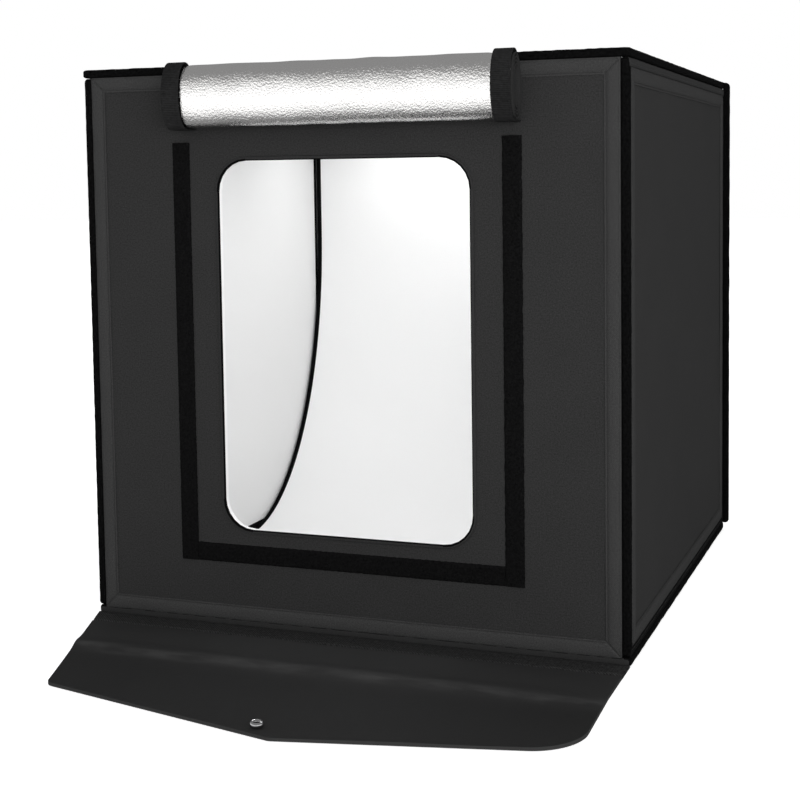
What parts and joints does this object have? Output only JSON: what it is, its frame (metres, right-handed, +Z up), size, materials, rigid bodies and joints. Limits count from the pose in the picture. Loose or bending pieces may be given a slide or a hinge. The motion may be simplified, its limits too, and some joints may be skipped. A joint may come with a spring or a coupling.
{
  "type": "light tent cube",
  "caption": "Folding cube of lined board walls with a front window, a rolled window cover, a sweep sheet, roof light bars and a carry-case flap in front.",
  "frame": {"origin": "centre of the cube's base, on the surface it stands on", "axes": "+Z up, -Y towards the window and the case flap, +X to the right as seen from in front"},
  "size_m": [0.614, 0.8846, 0.6033],
  "materials": {
    "charcoal_cloth": "matt woven cloth over board",
    "hem_cloth": "matt woven cloth, stitched",
    "black_tape": "woven binding tape",
    "webbing": "ribbed webbing",
    "hook_and_loop": "hook-and-loop tape",
    "pale_lining": "pale reflective lining",
    "silver_lining": "pebbled silver lining",
    "case_hide": "smooth coated cloth",
    "white_sheet": "matt white sheet",
    "plated_steel": "plated",
    "aluminium": "satin anodised",
    "white_plastic": "satin",
    "black_plastic": "satin"
  },
  "bodies": {
    "base": {"floor_board": "charcoal_cloth", "floor_binding": "black_tape", "floor_lining": "pale_lining", "case_root_strip": "black_tape"},
    "back_wall": {"back_board": "charcoal_cloth", "back_binding": "black_tape", "back_hem": "hem_cloth", "back_lining": "pale_lining", "snap_socket": "plated_steel", "backdrop_sheet": "white_sheet", "backdrop_left_edge": "black_tape", "backdrop_right_edge": "black_tape", "backdrop_batten": "white_plastic", "backdrop_pad_left": "hook_and_loop", "backdrop_pad_right": "hook_and_loop"},
    "left_wall": {"left_board": "charcoal_cloth", "left_binding": "black_tape", "left_hem": "hem_cloth", "left_lining": "pale_lining"},
    "right_wall": {"right_board": "charcoal_cloth", "right_binding": "black_tape", "right_hem": "hem_cloth", "right_lining": "pale_lining"},
    "roof": {"roof_board": "charcoal_cloth", "roof_binding": "black_tape", "roof_hem": "hem_cloth", "roof_lining": "pale_lining", "port_binding": "black_tape", "port_fastener": "hook_and_loop", "front_lamp_channel": "aluminium", "front_lamp_emitter": "white_plastic", "front_lamp_diffuser": "white_plastic", "front_lamp_cap_left": "black_plastic", "front_lamp_cap_right": "black_plastic", "front_lamp_inlet": "black_plastic", "rear_lamp_channel": "aluminium", "rear_lamp_emitter": "white_plastic", "rear_lamp_diffuser": "white_plastic", "rear_lamp_cap_left": "black_plastic", "rear_lamp_cap_right": "black_plastic", "rear_lamp_inlet": "black_plastic"},
    "port_cover": {"port_cover": "charcoal_cloth"},
    "front_door": {"front_board": "charcoal_cloth", "front_hem": "hem_cloth", "front_lining": "pale_lining", "window_binding": "black_tape", "fastener_left": "hook_and_loop", "fastener_right": "hook_and_loop", "fastener_bottom": "hook_and_loop", "window_cover_roll": "silver_lining", "roll_strap_left_anchor": "webbing", "roll_strap_right_anchor": "webbing"},
    "left_strap": {"roll_strap_left": "webbing"},
    "right_strap": {"roll_strap_right": "webbing"},
    "case_spine": {"case_spine": "case_hide"},
    "case_flap": {"case_flap": "case_hide", "snap_cap": "plated_steel", "snap_post": "plated_steel"}
  },
  "joints": [
    {"name": "back_wall_fold", "type": "hinge", "parent": "base", "child": "back_wall", "pos_m": [0, 0.3, 0.00915], "axis": [-1, 0, 0], "range_deg": [0, 80]},
    {"name": "left_wall_swing", "type": "hinge", "parent": "back_wall", "child": "left_wall", "pos_m": [-0.3, 0.29085, 0.3], "axis": [0, 0, -1], "range_deg": [0, 90]},
    {"name": "right_wall_swing", "type": "hinge", "parent": "back_wall", "child": "right_wall", "pos_m": [0.3, 0.29085, 0.3], "axis": [0, 0, 1], "range_deg": [0, 90]},
    {"name": "roof_lift", "type": "hinge", "parent": "back_wall", "child": "roof", "pos_m": [0, 0.3, 0.59085], "axis": [-1, 0, 0], "range_deg": [0, 90]},
    {"name": "port_cover_lift", "type": "hinge", "parent": "roof", "child": "port_cover", "pos_m": [0, 0.097, 0.6003], "axis": [-1, 0, 0], "range_deg": [0, 120]},
    {"name": "front_door_lift", "type": "hinge", "parent": "roof", "child": "front_door", "pos_m": [0, -0.30015, 0.5955], "axis": [-1, 0, 0], "range_deg": [0, 90]},
    {"name": "left_strap_open", "type": "hinge", "parent": "front_door", "child": "left_strap", "pos_m": [-0.1745, -0.31765, 0.6033], "axis": [-1, 0, 0], "range_deg": [0, 100]},
    {"name": "right_strap_open", "type": "hinge", "parent": "front_door", "child": "right_strap", "pos_m": [0.1825, -0.31765, 0.6033], "axis": [-1, 0, 0], "range_deg": [0, 100]},
    {"name": "case_spine_fold", "type": "hinge", "parent": "base", "child": "case_spine", "pos_m": [0, -0.33615, 0.0035], "axis": [-1, 0, 0], "range_deg": [0, 90]},
    {"name": "case_flap_fold", "type": "hinge", "parent": "case_spine", "child": "case_flap", "pos_m": [0, -0.39445, 0.0035], "axis": [-1, 0, 0], "range_deg": [0, 90]}
  ]
}
